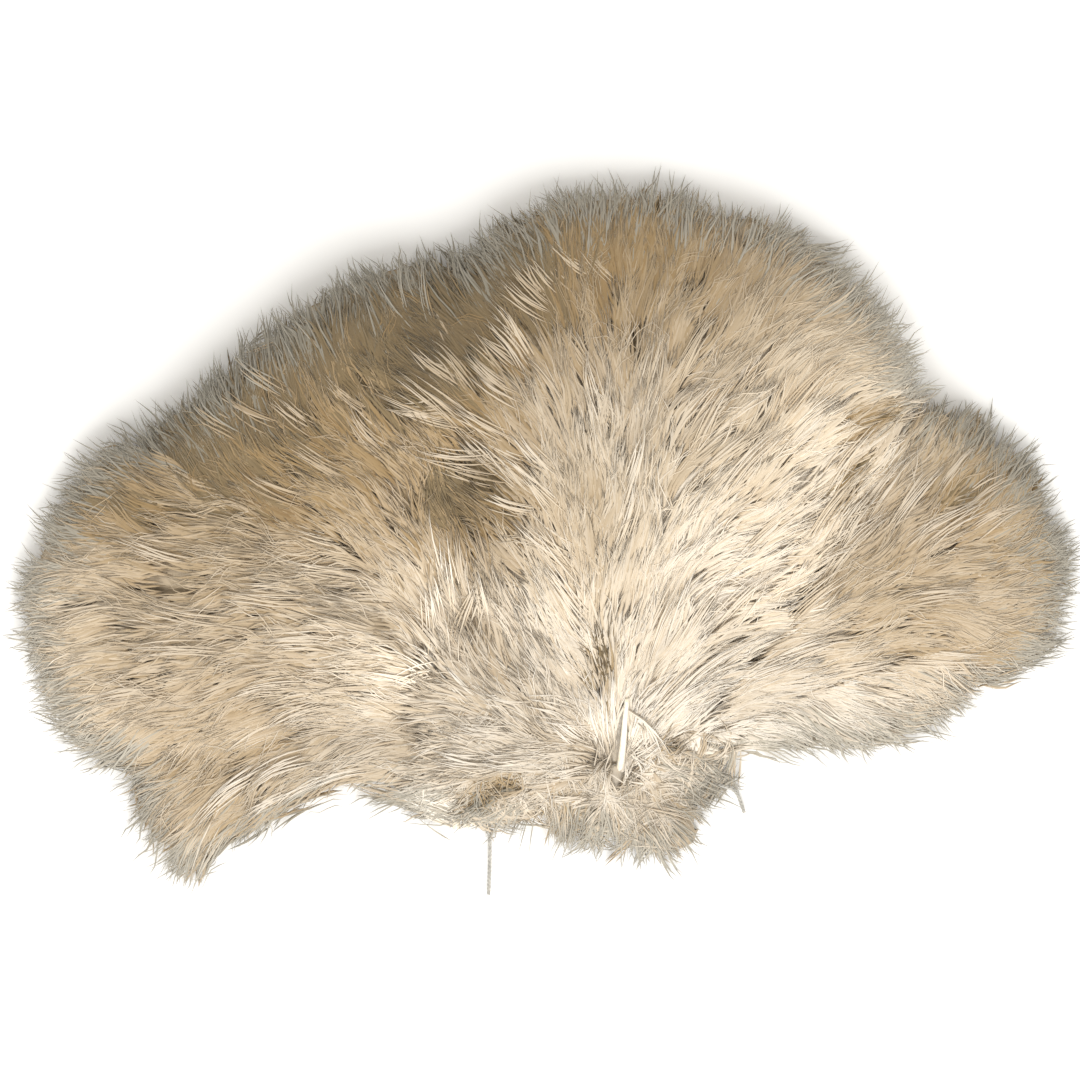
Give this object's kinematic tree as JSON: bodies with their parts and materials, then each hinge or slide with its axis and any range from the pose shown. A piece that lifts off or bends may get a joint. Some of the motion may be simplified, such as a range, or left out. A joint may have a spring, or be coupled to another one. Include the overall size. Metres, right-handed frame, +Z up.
{
  "type": "marabou feather tuft (strung plumes)",
  "caption": "Fan-shaped tuft of fluffy marabou plumes lying flat, quills strung together at the base on a cotton thread, soft barbs spreading outwards.",
  "frame": {"origin": "middle of the bounding box's underside, on the surface the tuft lies on", "axes": "+X to the viewer's right along the fan, +Y from the quills to the tips, +Z up"},
  "size_m": [0.2136, 0.1444, 0.0333],
  "materials": {
    "down": "soft matt down",
    "thread": "plain spun cotton"
  },
  "bodies": {
    "root": {"plume_centre": "down", "plume_inner_left": "down", "plume_left": "down", "plume_upper_left": "down", "plume_lower_left": "down", "plume_right": "down", "plume_lower_right": "down", "plume_bottom": "down", "stringing_thread": "thread"}
  },
  "joints": []
}
